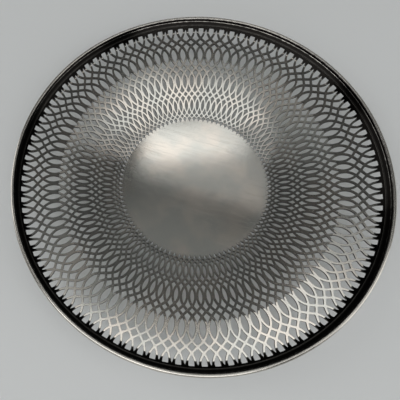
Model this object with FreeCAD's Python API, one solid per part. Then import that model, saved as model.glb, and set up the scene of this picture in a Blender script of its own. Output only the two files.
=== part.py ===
import FreeCAD, Part
import math
import os
from FreeCAD import Vector

# Driving dimensions, in millimetres.
overall_diameter = 254.0
overall_height = 26.5
centre_diameter = 100.2
collar_width = 6.5
sheet_thickness = 1.2

# The section of the sheet. The border rises from the flat centre, steeper at first, and bends up
# at its edge into a plain collar that carries the rim moulding.
border_bow_share = 0.43
border_inset = 0.4
collar_slope = math.radians(41.0)

# The rim moulding lies over the collar: a bead outside, a plain band and a thin lip over the lattice.
bead_radius = 1.5
bead_sides = 8
lip_width = 0.7
lip_height = 0.9
band_height = 0.4
lip_setback = 0.2
bead_lift = 2.2

# The pierced weave. On the real dish 96 pairs of strands swing four times between rim and centre.
# The model has fewer and larger openings of the same shapes, so that it stays light.
strand_pairs = 40
wave_count = 3
strand_share = 0.17
closing_share = 0.05
shoulder_share = 1 / 8

cut_overrun = 5.0

rim_radius = overall_diameter / 2
centre_radius = centre_diameter / 2
lattice_radius = rim_radius - collar_width
collar_start_radius = lattice_radius - border_inset
bead_centre = Vector(rim_radius - bead_radius, 0, overall_height - bead_radius)
steps_around = 2 * strand_pairs


def direction(slope):
    return Vector(math.cos(slope), 0, math.sin(slope))


def ring_radius(wave):
    """The radius reached after so many swings. Each swing shortens it by the same ratio."""
    return lattice_radius * (centre_radius / lattice_radius) ** (wave / wave_count)


def border_radii():
    """The border changes slope where strands cross halfway through a swing."""
    radii = [centre_radius]
    for wave in reversed(range(wave_count)):
        radii.append(ring_radius(wave + 1 / 2))
    radii.append(collar_start_radius)
    return radii


def underside():
    """Points of the section along the underside, from the centre out to the collar's edge."""
    collar_edge = bead_centre - Vector(0, 0, bead_lift)
    collar_rise = (collar_edge.x - collar_start_radius) * math.tan(collar_slope)
    border_rise = collar_edge.z - collar_rise
    points = []
    for radius in border_radii():
        share = (radius - centre_radius) / (collar_start_radius - centre_radius)
        bowed_share = share + border_bow_share * share * (1 - share)
        points.append(Vector(radius, 0, border_rise * bowed_share))
    return points + [collar_edge]


def slope_between(start, end):
    return math.atan2(end.z - start.z, end.x - start.x)


def upper_face():
    """The same points moved square to the sheet by its thickness, in the same order."""
    points = underside()
    slopes = [slope_between(start, end) for start, end in zip(points, points[1:])]
    before = [0.0] + slopes
    after = slopes + [slopes[-1]]
    lifted = []
    for point, slope_in, slope_out in zip(points, before, after):
        middle = (slope_in + slope_out) / 2
        reach = sheet_thickness / math.cos((slope_out - slope_in) / 2)
        lifted.append(point + Vector(-math.sin(middle), 0, math.cos(middle)) * reach)
    return lifted


def on_ring(point, column):
    """A point of the section carried round to a column of the weave, which may be a half column."""
    turn = 2 * math.pi * column / strand_pairs
    return Vector(point.x * math.cos(turn), point.x * math.sin(turn), point.z)


def ring(point):
    columns = [step / 2 for step in range(steps_around)]
    return Part.Face(Part.makePolygon([on_ring(point, column) for column in columns + [0]]))


def turned(section, is_closed):
    """A solid made by carrying a section round the axis in flat steps, one to each half column."""
    faces = []
    ends = section[1:] + section[:1] if is_closed else section[1:]
    for start, end in zip(section, ends):
        for step in range(steps_around):
            here = step / 2
            beyond = (step + 1) / 2
            corners = [on_ring(start, here), on_ring(start, beyond), on_ring(end, beyond), on_ring(end, here)]
            faces.append(Part.Face(Part.makePolygon(corners + corners[:1])))
    if not is_closed:
        faces.append(ring(section[0]))
        faces.append(ring(section[-1]))
    shell = Part.makeShell(faces)
    shell.sewShape()
    solid = Part.Solid(Part.Shell(shell.Faces))
    if solid.Volume < 0:
        solid.reverse()
    return solid


def make_sheet():
    """The raised sheet before piercing, with a flat centre of one piece with the border."""
    return turned(underside() + upper_face()[::-1], False)


def polygon_face(points):
    return Part.Face(Part.makePolygon(points + points[:1]))


def bead_outline():
    corner_reach = bead_radius / math.cos(math.pi / bead_sides)
    points = []
    for side in range(bead_sides):
        turn = 2 * math.pi * (side + 1 / 2) / bead_sides
        points.append(bead_centre + Vector(math.cos(turn), 0, math.sin(turn)) * corner_reach)
    return points


def make_rim_moulding():
    """Lip, band and bead in one, cut to fit over the collar and its edge."""
    foot, edge = upper_face()[-2:]
    along = direction(collar_slope)
    out = Vector(-along.z, 0, along.x)
    foot = foot + along * lip_setback
    lip_end = foot + along * lip_width
    strip = polygon_face([
        edge,
        edge + out * band_height,
        lip_end + out * band_height,
        lip_end + out * lip_height,
        foot + out * lip_height,
        foot,
    ])
    collar = polygon_face(underside()[-2:] + upper_face()[-2:][::-1])
    section = polygon_face(bead_outline()).fuse(strip).cut(collar).removeSplitter()
    outline = [vertex.Point for vertex in section.Faces[0].OuterWire.OrderedVertexes]
    return turned(outline, True)


def swing(wave):
    """How far a strand has moved sideways, in pitches, after so many swings."""
    return 1 - math.cos(math.pi * wave)


def lean_at(wave):
    """The angle between a strand and the radius, seen from above."""
    sideways = math.pi * abs(math.sin(math.pi * wave)) * 2 * math.pi / strand_pairs
    inwards = math.log(lattice_radius / centre_radius) / wave_count
    return math.atan2(sideways, inwards)


def half_strand(wave):
    return strand_share * math.pi * ring_radius(wave) / strand_pairs


def beside(column, wave, share):
    """A point on the ring of that wave, a share of the way from its column to the half column beside."""
    r = Vector(ring_radius(wave), 0, 0)
    here = on_ring(r, column)
    return here + (on_ring(r, column + math.copysign(1 / 2, share)) - here) * abs(share)


def tip(column, wave, way):
    """The pointed end of an opening where strands cross on its column. way is 1 inwards of it, else -1."""
    reach = half_strand(wave) / math.sin(lean_at(wave))
    return on_ring(Vector(ring_radius(wave) - way * reach, 0, 0), column)


def joint_tip(column, wave, way):
    """The end of an opening beside a joint, where two strands close on each other."""
    closed = strand_share / 2 + closing_share
    return beside(column, wave + way * math.acos(1 - closed) / math.pi, 0)


def corner(column, wave, side):
    """The side corner of an opening, beside the crossing on the next half column."""
    return beside(column, wave, side * (1 - strand_share / math.cos(lean_at(wave))))


def shoulder(column, wave, side):
    """A point on the bowed strand beside a lens or an arch, which is widest at a whole wave."""
    gap = 2 * abs(swing(wave) - swing(round(wave) + 1 / 3))
    return beside(column, wave, side * (gap - strand_share))


def kite(column, outer_end, wave, inner_end):
    return [outer_end, corner(column, wave, 1), inner_end, corner(column, wave, -1)]


def lens(column, wave):
    """The tall pointed opening between two strands that bow apart, widest at a whole wave."""
    outer = wave - shoulder_share
    inner = wave + shoulder_share
    return [
        tip(column, wave - 1 / 3, 1),
        shoulder(column, outer, 1),
        shoulder(column, inner, 1),
        tip(column, wave + 1 / 3, -1),
        shoulder(column, inner, -1),
        shoulder(column, outer, -1),
    ]


def arch(column):
    """The opening against the collar, the inner half of a lens."""
    return [
        corner(column, 0, 1),
        shoulder(column, shoulder_share, 1),
        tip(column, 1 / 3, -1),
        shoulder(column, shoulder_share, -1),
        corner(column, 0, -1),
    ]


def openings_of_pair(joint):
    """All openings that belong to one pair of strands, from the rim to the centre."""
    between = joint + 1 / 2
    openings = [arch(between)]
    for wave in range(wave_count):
        first = wave + 1 / 3
        middle = wave + 1 / 2
        last = wave + 2 / 3
        openings.append(kite(joint, joint_tip(joint, wave, 1), first, tip(joint, middle, -1)))
        openings.append(kite(between, tip(between, first, 1), middle, tip(between, last, -1)))
        openings.append(kite(joint, tip(joint, middle, 1), last, joint_tip(joint, wave + 1, -1)))
        if wave > 0:
            openings.append(lens(between, wave))
    return openings


def make_openings():
    faces = []
    for joint in range(strand_pairs):
        for points in openings_of_pair(joint):
            faces.append(polygon_face(points))
    reach = Vector(0, 0, overall_height + 2 * cut_overrun)
    tool = Part.makeCompound(faces).extrude(reach)
    tool.translate(Vector(0, 0, -cut_overrun))
    return tool


def make_pierced_dish():
    return make_sheet().cut(make_openings())


def single_solid(shape, name):
    """The one solid of a finished piece."""
    if len(shape.Solids) != 1:
        raise ValueError(name + " is not one solid")
    return shape.Solids[0]


os.makedirs("parts", exist_ok=True)
pieces = {
    "pierced_dish": make_pierced_dish(),
    "rim_moulding": make_rim_moulding(),
}
for name, shape in pieces.items():
    single_solid(shape, name).exportStep("parts/" + name + ".step")
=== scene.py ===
import bmesh
import bpy
import math
import numpy as np
from mathutils import Matrix, Vector


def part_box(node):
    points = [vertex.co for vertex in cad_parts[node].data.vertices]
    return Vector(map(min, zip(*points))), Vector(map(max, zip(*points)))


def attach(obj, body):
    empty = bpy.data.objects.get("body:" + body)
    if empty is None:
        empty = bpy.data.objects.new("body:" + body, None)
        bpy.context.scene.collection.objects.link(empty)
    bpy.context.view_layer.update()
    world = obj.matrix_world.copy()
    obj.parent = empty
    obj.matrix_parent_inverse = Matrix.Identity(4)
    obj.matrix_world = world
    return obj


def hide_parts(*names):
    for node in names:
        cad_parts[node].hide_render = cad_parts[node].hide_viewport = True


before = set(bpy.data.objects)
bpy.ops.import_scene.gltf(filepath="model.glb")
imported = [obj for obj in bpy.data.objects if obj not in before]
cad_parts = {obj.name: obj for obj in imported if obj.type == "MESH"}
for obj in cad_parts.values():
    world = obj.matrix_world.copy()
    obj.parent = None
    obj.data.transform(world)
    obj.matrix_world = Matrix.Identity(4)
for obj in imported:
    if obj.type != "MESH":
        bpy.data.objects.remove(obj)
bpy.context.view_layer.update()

# The pierced dish is one raised sheet of silver plated metal. Its flat centre rises into a wide border
# that is pierced into a weave of 96 pairs of strands, and bends up at the edge into a plain collar.
# The silver is polished, fine scratched on the centre and clouded a little. Where the strands root in the
# collar it is painted black, a painted shade for the dark that the moulding casts and mirrors there.
rim_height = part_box("rim_moulding")[1].z
rim_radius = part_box("rim_moulding")[1].x
bead_radius = 0.0015
sheet_thickness = 0.0012

# The photograph's outline sets the rim this much lower than the CAD has it.
rim_drop = 0.0012
bead_centre = Vector((rim_radius - bead_radius, 0, rim_height - rim_drop - bead_radius))
# The collar's edge lies under the bead's centre, and its underside this far below it.
bead_lift = 0.0022
collar_edge_radius = bead_centre.x

# Each fold of the sheet is given by its radius and half its width.
centre_fold = (0.0527, 0.0002)
shoulder_fold = (0.0954, 0.0001)
collar_fold = (0.1192, 0.0006)
# The wall is steeper at its foot by this slope, which fades over the reach.
foot_slope = 0.13
foot_reach = 0.007
brim_slope = math.radians(2.5)
collar_slope = math.radians(41.4)
profile_samples = 2600


def make_profile():
    """Radius, height and slope along the sheet's upper face: flat centre, raised wall, brim and collar."""
    radii = np.linspace(0, collar_edge_radius, profile_samples)
    steps = np.diff(radii)

    def eased(fold):
        radius, half_width = fold
        step = np.clip((radii - radius) / half_width / 2 + 0.5, 0, 1)
        return step * step * (3 - 2 * step)

    def rise(slope):
        return np.concatenate([[0], np.cumsum(steps * (slope[1:] + slope[:-1]) / 2)])

    wall = eased(centre_fold) - eased(shoulder_fold)
    foot = eased(centre_fold) * foot_slope * np.exp(-np.maximum(radii - centre_fold[0], 0) / foot_reach)
    outer = eased(shoulder_fold) * math.tan(brim_slope)
    outer += eased(collar_fold) * (math.tan(collar_slope) - math.tan(brim_slope))
    full_rise = bead_centre.z - bead_lift
    wall_slope = (full_rise - rise(foot + outer)[-1]) / rise(wall)[-1]
    slope = wall * wall_slope + foot + outer
    return radii, sheet_thickness + rise(slope), slope


profile_radii, profile_heights, profile_slopes = make_profile()


def sheet_point(radius, bearing, depth):
    """A point of the sheet so far under its upper face, measured square to it."""
    slope = np.arctan(np.interp(radius, profile_radii, profile_slopes))
    height = np.interp(radius, profile_radii, profile_heights)
    reach = radius + np.sin(slope) * depth
    return (reach * math.cos(bearing), reach * math.sin(bearing), height - np.cos(slope) * depth)


# The weave is laid out by its wave: how many swings a strand has made on its way in from the rim.
strand_pairs = 96
wave_count = 4
pitch_angle = 2 * math.pi / strand_pairs
weave_bearing = 0.0204
arch_radius = 0.1212

# The rings at which strands meet. Each swing takes about the same share off the radius.
first_ring_share = 0.0367
ring_step_share = 0.1983
ring_ease_share = 0.00808
# Outside the first crossing the weave is drawn out toward the rim. Near the flat centre it crowds.
first_crossing = 0.34
last_crossing = wave_count - first_crossing
rim_stretch = 0.055
crowding_start = 3.2
crowding = 0.0026


def ring_radius(wave):
    """The radius at which a strand has made so many swings. The first swing runs on under the rim."""
    radius = rim_radius * np.exp(-first_ring_share - ring_step_share * wave - ring_ease_share * wave ** 2)
    radius += rim_stretch * np.maximum(first_crossing - wave, 0) ** 2
    return radius + crowding * np.maximum(wave - crowding_start, 0) ** 2


def pitch_length(wave):
    return 2 * np.pi * ring_radius(wave) / strand_pairs


strand_width = 0.00145
inner_strand_width = 0.0008
strands_taper_from = 2
strands_taper_over = 1.9
root_start_radius = 0.1192
root_flare = 0.0011


def plain_width(wave):
    """Strands are finer toward the centre."""
    taper = np.clip((wave - strands_taper_from) / strands_taper_over, 0, 1)
    return strand_width + (inner_strand_width - strand_width) * taper


def width_of_strand(wave):
    """Strands flare where they root in the collar."""
    root = np.clip((ring_radius(wave) - root_start_radius) / (arch_radius - root_start_radius), 0, 1)
    return plain_width(wave) + root_flare * root ** 2


joint_overlap = 0.025
swing_sharpness = 0.2


def swing_course(wave):
    """How far a strand has moved sideways, in pitches, and how fast. It joins side by side with its mate."""
    part = wave % 1
    phase = np.pi * part - swing_sharpness / 2 * np.sin(2 * np.pi * part)
    start = plain_width(wave) / pitch_length(wave) / 2 - joint_overlap
    course = start + (1 - start) * (1 - np.cos(phase))
    rate = (1 - start) * np.sin(phase) * np.pi * (1 - swing_sharpness * np.cos(2 * np.pi * part))
    return course, rate


def strand_centre(wave):
    """How far the strand lies from the nearest joint line, in pitches."""
    course = swing_course(wave)[0]
    return np.abs(course - np.round(course))


def half_strand(wave):
    """Half the strand's width measured round the dish, in pitches. It grows as the strand leans."""
    step = 0.0005
    sideways = swing_course(wave)[1] * pitch_length(wave)
    inwards = (ring_radius(wave - step) - ring_radius(wave + step)) / (2 * step)
    return width_of_strand(wave) / pitch_length(wave) / 2 * np.sqrt(1 + (sideways / inwards) ** 2)


def gap_between(wave):
    """Half the opening midway between two joint lines, in pitches."""
    gap = 1 / 2 - strand_centre(wave) - half_strand(wave)
    return np.where(wave > last_crossing, 0, np.maximum(gap, 0))


def gap_at_joint(wave):
    """Half the opening on a joint line, in pitches. The last one closes at the flat centre."""
    return np.maximum(strand_centre(wave) - half_strand(wave), 0)


def opening_ends(gap, waves):
    """The waves at which an opening comes to its point."""
    is_open = gap(waves) > 0
    ends = np.flatnonzero(is_open[1:] != is_open[:-1])
    return [waves[i] if is_open[i + 1] else waves[i + 1] for i in ends]


rows_per_wave = 26
closest_rows_share = 0.3
outermost_wave = 0.05
radius_samples = 4001
opening_samples = 40001


def wave_at(radius):
    waves = np.linspace(outermost_wave, wave_count, radius_samples)
    return float(np.interp(-radius, -ring_radius(waves), waves))


def weave_rows():
    """Every wave at which the sheet gets a row of points, with one at each bend and opening's end."""
    start = wave_at(arch_radius)
    fine = np.linspace(start, wave_count, opening_samples)
    fixed = opening_ends(gap_between, fine) + opening_ends(gap_at_joint, fine) + [start]
    for radius, half_width in (centre_fold, shoulder_fold, collar_fold):
        fixed += [wave_at(radius - half_width), wave_at(radius + half_width)]
    least = closest_rows_share / rows_per_wave
    even = np.linspace(start, max(fixed), rows_per_wave * wave_count)
    between = [wave for wave in even if min(abs(wave - row) for row in fixed) > least]
    return np.array(sorted(fixed + between))


# The upper edges of the openings are worn to a narrow slant.
edge_width = 0.00014
edge_drop = 0.00014


def weave_columns(rows):
    """Five places across half a pitch for each row, their drop below the face, and which rows are open."""
    between = gap_between(rows)
    at_joint = gap_at_joint(rows)
    between[-1] = at_joint[-1] = 0
    edge = edge_width / pitch_length(rows)
    ease_between = np.minimum(edge, between / 2)
    ease_at_joint = np.minimum(edge, at_joint / 2)
    left = -1 / 2 + between
    right = -at_joint
    columns = np.stack([
        left,
        left + ease_between,
        (left + right) / 2,
        right - ease_at_joint,
        right,
    ], axis=1)
    drops = np.zeros_like(columns)
    drops[:, 0] = edge_drop * ease_between / edge
    drops[:, -1] = edge_drop * ease_at_joint / edge
    return columns, drops, between > 0, at_joint > 0


# The first two points of the mesh are the middle of the flat centre, above and below.
centre_top = 0
centre_under = 1


class SheetMesh:
    """The points and faces of the sheet, laid half a pitch at a time, every other one mirrored."""

    def __init__(self):
        self.vertices = [sheet_point(0, 0, 0), sheet_point(0, 0, sheet_thickness)]
        self.faces = []
        self.dark_faces = []
        self.half = 0

    def is_mirrored(self):
        return self.half % 2 == 1

    def row(self, radius, places, depths):
        """Adds points side by side at one radius and returns their numbers."""
        side = -1 if self.is_mirrored() else 1
        first = len(self.vertices)
        for place, depth in zip(places, np.broadcast_to(depths, len(places))):
            bearing = weave_bearing + pitch_angle * (self.half // 2 + side * place)
            self.vertices.append(sheet_point(radius, bearing, depth))
        return list(range(first, len(self.vertices)))

    def face(self, corners, is_dark=False):
        if is_dark:
            self.dark_faces.append(len(self.faces))
        self.faces.append(corners[::-1] if self.is_mirrored() else corners)

    def strip(self, first, second, is_under=False):
        """Faces between two rows."""
        for k in range(len(first) - 1):
            corners = [first[k], first[k + 1], second[k + 1], second[k]]
            self.face(corners[::-1] if is_under else corners)


def lay_weave(sheet, radii, columns, drops, opens_between, opens_at_joint):
    """The strands with the sides of their openings. Returns the rows of points above and below."""
    top = []
    under = []
    for radius, places, depths in zip(radii, columns, drops):
        top.append(sheet.row(radius, places, depths))
        under.append(sheet.row(radius, places[[0, -1]], sheet_thickness))
    for i in range(len(radii) - 1):
        sheet.strip(top[i][1:-1], top[i + 1][1:-1])
        sheet.strip(under[i], under[i + 1], is_under=True)
        # Beside an opening the slanted edge and the side take the near-black material. On the slant that is
        # painted shade. On the side it is partly unpolished metal gone dark and partly painted shade.
        is_open = opens_between[i] or opens_between[i + 1]
        sheet.face([top[i][0], top[i][1], top[i + 1][1], top[i + 1][0]], is_open)
        if is_open:
            sheet.face([top[i][0], top[i + 1][0], under[i + 1][0], under[i][0]], is_open)
        is_open = opens_at_joint[i] or opens_at_joint[i + 1]
        sheet.face([top[i][-2], top[i][-1], top[i + 1][-1], top[i + 1][-2]], is_open)
        if is_open:
            sheet.face([top[i + 1][-1], top[i][-1], under[i][-1], under[i + 1][-1]], is_open)
    return top, under


collar_rings = 12
centre_rings = 26


def lay_collar(sheet, mouth_radius, places, mouth_drop, mouth_row):
    """The plain collar, from its edge in to the arches of the weave."""
    places = np.concatenate([[-1 / 2], places])
    radii = np.linspace(collar_edge_radius, arch_radius, collar_rings)[:-1]
    top = [sheet.row(radius, places, 0) for radius in radii]
    under = [sheet.row(radius, places, sheet_thickness) for radius in radii]
    top.append(sheet.row(mouth_radius, places[:1], mouth_drop) + mouth_row)
    under.append(sheet.row(mouth_radius, places, sheet_thickness))
    for k in range(len(radii)):
        sheet.strip(top[k], top[k + 1])
        sheet.strip(under[k], under[k + 1], is_under=True)
    sheet.strip(under[0], top[0])
    sheet.face([top[-1][0], top[-1][1], under[-1][1], under[-1][0]], is_dark=True)


def lay_centre(sheet, edge_radius, places, top_row, under_row):
    """The flat centre, from the last points of the weave in to the dish's axis."""
    radii = edge_radius * np.linspace(1, 0, centre_rings)[1:-1]
    top = [top_row] + [sheet.row(radius, places, 0) for radius in radii]
    under = [under_row] + [sheet.row(radius, places[[0, -1]], sheet_thickness) for radius in radii]
    for k in range(len(radii)):
        sheet.strip(top[k], top[k + 1])
        sheet.strip(under[k], under[k + 1], is_under=True)
    for k in range(len(places) - 1):
        sheet.face([top[-1][k], top[-1][k + 1], centre_top])
    sheet.face([under[-1][1], under[-1][0], centre_under])


def make_pierced_dish():
    """The sheet is laid out over half a pitch and carried round, every other copy mirrored."""
    rows = weave_rows()
    radii = ring_radius(rows)
    columns, drops, opens_between, opens_at_joint = weave_columns(rows)
    sheet = SheetMesh()
    for half in range(2 * strand_pairs):
        sheet.half = half
        top, under = lay_weave(sheet, radii, columns, drops, opens_between, opens_at_joint)
        lay_collar(sheet, radii[0], columns[0], drops[0][0], top[0])
        lay_centre(sheet, radii[-1], columns[-1], top[-1], under[-1])
    return sheet.vertices, sheet.faces, sheet.dark_faces


def mesh_object(name, vertices, faces, second_finish):
    """A mesh whose listed faces take the second of the piece's two materials."""
    mesh = bpy.data.meshes.new(name)
    mesh.from_pydata(vertices, [], faces)
    for index in second_finish:
        mesh.polygons[index].material_index = 1
    thing = bpy.data.objects.new(name, mesh)
    bpy.context.scene.collection.objects.link(thing)
    return thing


weld_distance = 0.000002


def weld(thing, sharp_angle):
    """Joins points that fall together and shades the piece smooth between its real edges."""
    form = bmesh.new()
    form.from_mesh(thing.data)
    bmesh.ops.remove_doubles(form, verts=form.verts, dist=weld_distance)
    bmesh.ops.dissolve_degenerate(form, edges=form.edges, dist=weld_distance)
    for face in form.faces:
        face.smooth = True
    form.to_mesh(thing.data)
    form.free()
    thing.data.set_sharp_from_angle(angle=sharp_angle)


# The folds turn by little, so a small angle keeps them crisp.
sheet_sharp_angle = math.radians(4.5)

dish = mesh_object("dish_sheet", *make_pierced_dish())
weld(dish, sheet_sharp_angle)


def new_material(name):
    """A new material and its one shader."""
    material = bpy.data.materials.new(name)
    material.use_nodes = True
    return material, material.node_tree.nodes["Principled BSDF"]


def put(material, value, socket):
    """Sets a socket to a constant, or links it to another node's output."""
    if isinstance(value, bpy.types.NodeSocket):
        material.node_tree.links.new(value, socket)
    else:
        socket.default_value = value


def add_node(material, kind, **settings):
    """A node whose settings are its own properties and the inputs of the same names."""
    node = material.node_tree.nodes.new(kind)
    for name, value in settings.items():
        if name in node.inputs:
            put(material, value, node.inputs[name])
        else:
            setattr(node, name, value)
    return node


def noise(material, place, **settings):
    return add_node(material, "ShaderNodeTexNoise", Vector=place, **settings).outputs["Fac"]


def blend(material, share, first, second):
    """A colour that passes from the first to the second as the share grows."""
    mix = add_node(material, "ShaderNodeMix", data_type="RGBA", Factor=share, A=first, B=second)
    return mix.outputs["Result"]


def between_values(material, source, low, high, to_low=0, to_high=1):
    """A value that passes from one level to another while the source goes from low to high."""
    ramp = add_node(material, "ShaderNodeMapRange", interpolation_type="SMOOTHSTEP", Value=source)
    for name, value in (("From Min", low), ("From Max", high), ("To Min", to_low), ("To Max", to_high)):
        ramp.inputs[name].default_value = value
    return ramp.outputs["Result"]


def reckon(material, operation, *values):
    """The result of one step of arithmetic on constants and other nodes' outputs."""
    node = add_node(material, "ShaderNodeMath", operation=operation)
    for value, socket in zip(values, node.inputs):
        put(material, value, socket)
    return node.outputs["Value"]


def distance_from_axis(material, place):
    flat = add_node(material, "ShaderNodeVectorMath", operation="MULTIPLY")
    put(material, place, flat.inputs[0])
    put(material, (1, 1, 0), flat.inputs[1])
    reach = add_node(material, "ShaderNodeVectorMath", operation="LENGTH")
    put(material, flat.outputs["Vector"], reach.inputs[0])
    return reach.outputs["Value"]


streaks_per_metre = 30


def scratches(material, place, turn, spacing):
    """Fine straight scratches that run one way, as long thin streaks of noise."""
    scale = (streaks_per_metre, 1 / spacing, streaks_per_metre)
    laid = add_node(material, "ShaderNodeMapping", Vector=place, Rotation=(0, 0, turn), Scale=scale)
    grain = noise(material, laid.outputs["Vector"], Scale=1.0, Detail=3.0, Roughness=0.6)
    return between_values(material, grain, low=0.56, high=0.70)


# The black of a ring painted round the dish's axis. It is painted shade on the strands' roots, the collar,
# the lip and the bead's inner side, and it is the black of the moulding's band.
black_ring_colour = (0.006, 0.0055, 0.005, 1)
# The edge of the black ring wanders by this much, and a scratch adds this much roughness.
black_ring_raggedness = 0.0004
scratch_dulling = 0.06


def silver(name, colour, cloud_colour, dark_from, dark_to, roughness):
    """Polished silver, clouded and finely scratched, with a ring painted black round the dish's axis.

    It blackens over the radii dark_from and comes clean again over the radii dark_to.
    """
    material, shader = new_material(name)
    place = add_node(material, "ShaderNodeTexCoord").outputs["Object"]
    cloud = noise(material, place, Scale=38.0, Detail=6.0)
    clouded = between_values(material, cloud, low=0.38, high=0.66)
    tint = blend(material, clouded, cloud_colour, colour)

    speckle = noise(material, place, Scale=420.0, Detail=3.0)
    uneven = reckon(material, "MULTIPLY_ADD", speckle, black_ring_raggedness, -black_ring_raggedness / 2)
    reach = reckon(material, "ADD", distance_from_axis(material, place), uneven)
    darkened = between_values(material, reach, *dark_from)
    lightened = between_values(material, reach, *dark_to, to_low=1, to_high=0)
    dark = reckon(material, "MULTIPLY", darkened, lightened)

    one_way = scratches(material, place, turn=0.5, spacing=0.00035)
    other_way = scratches(material, place, turn=-0.9, spacing=0.0005)
    scored = reckon(material, "MAXIMUM", one_way, other_way)
    swell = noise(material, place, Scale=55.0, Detail=2.0)
    dents = add_node(material, "ShaderNodeBump", Strength=0.15, Distance=0.0002, Height=swell)
    scores = add_node(material, "ShaderNodeBump", Strength=0.08, Distance=0.00003, Height=scored,
                      Normal=dents.outputs["Normal"])

    shader.inputs["Metallic"].default_value = 1
    # The black ring is painted over the metal here. It is painted shade on the strands' roots, the collar,
    # the lip and the bead's inner side, and it makes the band black.
    put(material, blend(material, dark, tint, black_ring_colour), shader.inputs["Base Color"])
    dulled = reckon(material, "MULTIPLY_ADD", scored, scratch_dulling, roughness)
    put(material, dulled, shader.inputs["Roughness"])
    put(material, scores.outputs["Normal"], shader.inputs["Normal"])
    return material


def sawn_and_shaded_silver(name, dark_colour, light_colour):
    """The sides of the openings and the slants along their upper edges, near black: on the sawn sides partly
    unpolished metal gone dark and partly painted shade, on the slants painted shade.
    """
    material, shader = new_material(name)
    place = add_node(material, "ShaderNodeTexCoord").outputs["Object"]
    grain = noise(material, place, Scale=260.0, Detail=4.0)
    shader.inputs["Metallic"].default_value = 1
    shader.inputs["Roughness"].default_value = 0.45
    put(material, blend(material, grain, dark_colour, light_colour), shader.inputs["Base Color"])
    return material


# On the dish the black ring runs from the strands' roots out over the collar. It is painted shade for the
# dark that the moulding casts and mirrors there.
polished = silver(
    "polished_silver",
    colour=(0.70, 0.65, 0.58, 1),
    cloud_colour=(0.585, 0.58, 0.535, 1),
    dark_from=(0.1182, 0.1197),
    dark_to=(0.13, 0.14),
    roughness=0.12,
)
sawn_and_shaded = sawn_and_shaded_silver("sawn_and_shaded_edges", dark_colour=(0.02, 0.018, 0.016, 1), light_colour=(0.07, 0.065, 0.06, 1))
dish.data.materials.append(polished)
dish.data.materials.append(sawn_and_shaded)
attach(dish, "root")
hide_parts("pierced_dish")

# The rim moulding is a drawn silver strip, bent into a ring and soldered over the collar. It has a thin
# lip over the ends of the weave, a plain band painted black, and a round bead outside. The lip and the
# bead's inner side are darkened by painted shade.
lip_radius = 0.1224
lip_width = 0.0005
lip_height = 0.0006
lip_arc_steps = 8
band_height = 0.0003
# The bead is drawn from where it meets the band, round its outside, to a little past its lowest point.
bead_arc_steps = 32
bead_arc_end = -math.pi * 0.56
# The outline has a point just before the bead, and closes on the collar just inside its edge.
seam_margin = 0.00015
edge_margin = 0.0003
steps_round = 384
moulding_sharp_angle = math.radians(35)


def make_moulding_outline():
    """Radius and height of the moulding's outline, from the lip over the band and round the bead."""
    along = Vector((math.cos(collar_slope), 0, math.sin(collar_slope)))
    out = Vector((-along.z, 0, along.x))
    foot = Vector(sheet_point(lip_radius, 0, 0))
    lip_end = foot + along * lip_width
    lip_centre = (foot + lip_end) / 2 + out * (lip_height - lip_width / 2)
    outline = [foot]
    for k in range(lip_arc_steps + 1):
        turn = math.pi * (1 - k / lip_arc_steps)
        outline.append(lip_centre + (along * math.cos(turn) + out * math.sin(turn)) * lip_width / 2)
    lip_corner = lip_width / 6
    band_point = lip_end + out * band_height
    outline.append(lip_end + out * (band_height + lip_corner))
    outline.append(band_point + along * lip_corner)
    toward = bead_centre - band_point
    across = toward.dot(out)
    run = toward.dot(along) - math.sqrt(bead_radius ** 2 - across ** 2)
    meeting = band_point + along * run
    outline.append(meeting - along * seam_margin)
    start = math.atan2(meeting.z - bead_centre.z, meeting.x - bead_centre.x) % (2 * math.pi)
    for k in range(bead_arc_steps + 1):
        turn = start + (bead_arc_end - start) * k / bead_arc_steps
        outline.append(bead_centre + Vector((math.cos(turn), 0, math.sin(turn))) * bead_radius)
    outline.append(Vector(sheet_point(collar_edge_radius - edge_margin, 0, 0)))
    return outline


def turned(name, outline):
    """A closed outline carried round the dish's axis."""
    vertices = []
    faces = []
    count = len(outline)
    for step in range(steps_round):
        bearing = 2 * math.pi * step / steps_round
        for point in outline:
            vertices.append((point.x * math.cos(bearing), point.x * math.sin(bearing), point.z))
    for step in range(steps_round):
        here = step * count
        beyond = (step + 1) % steps_round * count
        for k in range(count):
            after = (k + 1) % count
            faces.append([here + k, beyond + k, beyond + after, here + after])
    return mesh_object(name, vertices, faces, [])


moulding = turned("rim_bead_and_band", make_moulding_outline())
weld(moulding, moulding_sharp_angle)
# On the moulding the black ring covers the band. Over the lip and the bead's inner side it is painted shade,
# which leaves the lip's highlight only a faint line.
moulding.data.materials.append(silver(
    "moulding_silver",
    colour=(0.69, 0.655, 0.595, 1),
    cloud_colour=(0.57, 0.545, 0.50, 1),
    dark_from=(0.1185, 0.1232),
    dark_to=(0.1244, 0.1249),
    roughness=0.14,
))
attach(moulding, "root")
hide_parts("rim_moulding")

# The dish stands on a plain pale table with a matt face. The table is far wider than the picture, and
# the flat centre of the dish lies on it.
bpy.ops.mesh.primitive_plane_add(size=30)
table = bpy.context.object
table.name = "table_top"
pale, shader = new_material("pale_table")
shader.inputs["Base Color"].default_value = (0.76, 0.775, 0.77, 1)
shader.inputs["Roughness"].default_value = 0.6
table.data.materials.append(pale)

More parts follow.
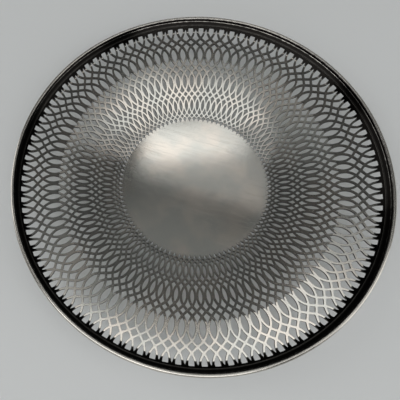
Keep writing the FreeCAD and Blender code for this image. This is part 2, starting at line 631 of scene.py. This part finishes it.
# The studio is a pale surround under a darker ceiling with a paler middle. Its levels are given from the
# horizon at 0 to straight overhead at 1, and it is a little short of red.
world = bpy.data.worlds.new("studio")
bpy.context.scene.world = world
world.use_nodes = True
nodes = world.node_tree.nodes
links = world.node_tree.links
around = nodes.new("ShaderNodeTexCoord")
parts = nodes.new("ShaderNodeSeparateXYZ")
links.new(around.outputs["Generated"], parts.inputs["Vector"])
ramp = nodes.new("ShaderNodeValToRGB")
links.new(parts.outputs["Z"], ramp.inputs["Fac"])
surround = [(0.0, 0.42), (0.14, 0.36), (0.28, 0.17), (0.66, 0.15),
            (0.78, 0.07), (0.90, 0.06), (0.94, 0.10), (0.97, 0.21)]
red_share = 0.97
while len(ramp.color_ramp.elements) < len(surround):
    ramp.color_ramp.elements.new(1.0)
for element, (position, level) in zip(ramp.color_ramp.elements, surround):
    element.position = position
    element.color = (level * red_share, level, level, 1)
links.new(ramp.outputs["Color"], nodes["Background"].inputs["Color"])


def soft_box(name, place, target, turn, width, depth, radiance):
    """A rectangular lamp at a place that faces a target, turned so far in its own plane."""
    lamp = bpy.data.lights.new(name, "AREA")
    lamp.shape = "RECTANGLE"
    lamp.size = width
    lamp.size_y = depth
    lamp.energy = radiance * width * depth * math.pi
    thing = bpy.data.objects.new(name, lamp)
    bpy.context.scene.collection.objects.link(thing)
    aim = (Vector(place) - Vector(target)).to_track_quat("Z", "Y").to_matrix()
    thing.visible_camera = False
    thing.matrix_world = Matrix.Translation(place) @ (aim @ Matrix.Rotation(turn, 3, "Z")).to_4x4()


# Soft boxes that face straight down show in the metal: they make its bright and its dim parts.
# Lamps in one plane average where they overlap, so the far box hangs a little lower than the others.
ceiling = 2.4
for name, x, y, height, turned_by, width, depth, radiance in (
        ("overhead_box", 0.325, -0.30, ceiling, 0, 1.55, 0.70, 0.97),
        ("overhead_turned", 0.74, 0.20, ceiling, 53, 0.8, 0.6, 1.05),
        ("overhead_corner", 0.87, 0.71, ceiling, 0, 0.56, 0.42, 0.45),
        ("overhead_right", 1.375, 0.315, ceiling, 0, 0.75, 1.23, 0.55),
        ("overhead_left", -0.85, -0.22, ceiling, 0, 0.8, 0.68, 0.42),
        ("far_glow", 0.04, 1.08, ceiling, 0, 1.0, 0.42, 0.36),
        ("far_box", -0.10, 1.275, 2.38, 24, 0.80, 0.34, 1.08)):
    soft_box(name, (x, y, height), (x, y, 0), math.radians(turned_by), width, depth, radiance)

# The others face the dish. The strong one is high at the near side and throws the dish's shadow away
# from the camera. The weak ones stand low at the near side, the left and the right.
for name, place, width, depth, radiance in (
        ("front_box", (0, -1.6, 2.4), 3.8, 1.0, 2.4),
        ("near_box", (0, -3.0, 1.6), 5.0, 1.7, 0.45),
        ("left_box", (-3.2, 0, 1.2), 1.8, 4.5, 0.95),
        ("right_box", (3.2, 0, 1.2), 1.8, 4.5, 0.95)):
    soft_box(name, place, (0, 0, 0), 0, width, depth, radiance)

# The camera stands where the photograph was taken, nearly over the near edge of the dish. Its lens and
# frame were worked out from the rim and the crossings of the weave. Its place and its aim are in rim
# radii from the middle of the rim as the CAD has it.
frame_pixels = 400
focal_pixels = 382.3
principal_pixel = (132.51, 210.07)
camera_radii = Vector((0, -0.79, 1.8876))
aim_radii = Vector((-0.2597, -0.3016, 0))
roll = 0.3325
rim_middle = Vector((0, 0, rim_height - bead_radius))
camera_place = camera_radii * rim_radius + rim_middle
aim_place = aim_radii * rim_radius + rim_middle
backward = (camera_place - aim_place).normalized()
level_side = Vector((0, 1, 0)).cross(backward).normalized()
upright = backward.cross(level_side)
camera_x = level_side * math.cos(roll) + upright * math.sin(roll)
camera_y = upright * math.cos(roll) - level_side * math.sin(roll)
camera_turn = Matrix((camera_x, camera_y, backward)).transposed().to_4x4()

camera_data = bpy.data.cameras.new("photograph")
camera = bpy.data.objects.new("photograph", camera_data)
bpy.context.scene.collection.objects.link(camera)
camera.matrix_world = Matrix.Translation(camera_place) @ camera_turn
camera_data.sensor_width = 36
camera_data.lens = camera_data.sensor_width * focal_pixels / frame_pixels
frame_middle = (frame_pixels - 1) / 2
camera_data.shift_x = (frame_middle - principal_pixel[0]) / frame_pixels
camera_data.shift_y = (principal_pixel[1] - frame_middle) / frame_pixels
camera_data.clip_start = 0.01
bpy.context.scene.camera = camera
bpy.context.scene.view_settings.view_transform = "Standard"
